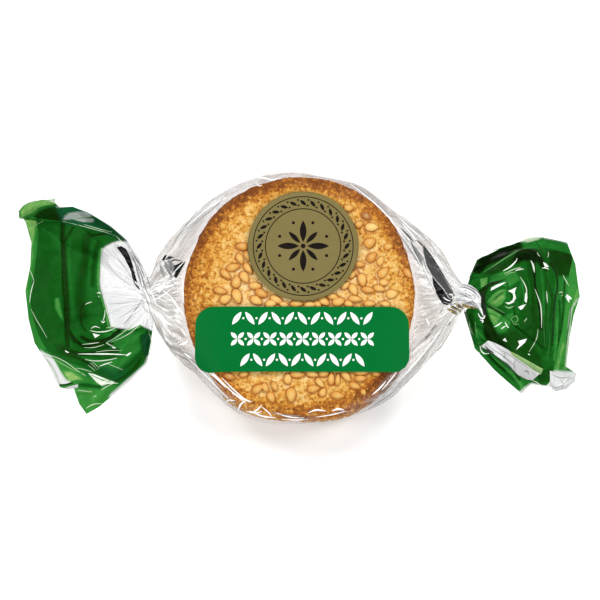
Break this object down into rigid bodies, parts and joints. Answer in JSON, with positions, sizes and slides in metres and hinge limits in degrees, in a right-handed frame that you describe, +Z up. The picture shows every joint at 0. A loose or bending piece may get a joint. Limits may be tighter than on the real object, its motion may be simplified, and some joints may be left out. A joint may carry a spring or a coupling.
{
  "type": "twist-wrapped sesame mantecado",
  "caption": "Round sesame shortbread in a clear twist wrapper with pleated green fans, a gold round print and a green band, lying flat",
  "frame": {"origin": "on the table under the middle of the biscuit", "axes": "+X along the package from fan to fan, to the right of the shown face; +Y across it, towards the round print; +Z up out of the shown face"},
  "size_m": [0.1473, 0.0653, 0.0167],
  "materials": {
    "biscuit": "baked golden biscuit with a browned rim, seen through clear film",
    "clear_film": "clear glossy wrapping film, creased",
    "green_film": "translucent green glossy film, pleated",
    "gold_print": "satin dull gold print",
    "green_print": "satin green print"
  },
  "bodies": {
    "root": {"wrapped_biscuit": "biscuit", "fan_left": "green_film", "fan_right": "green_film", "round_label": "gold_print", "band_label": "green_print"}
  },
  "joints": []
}
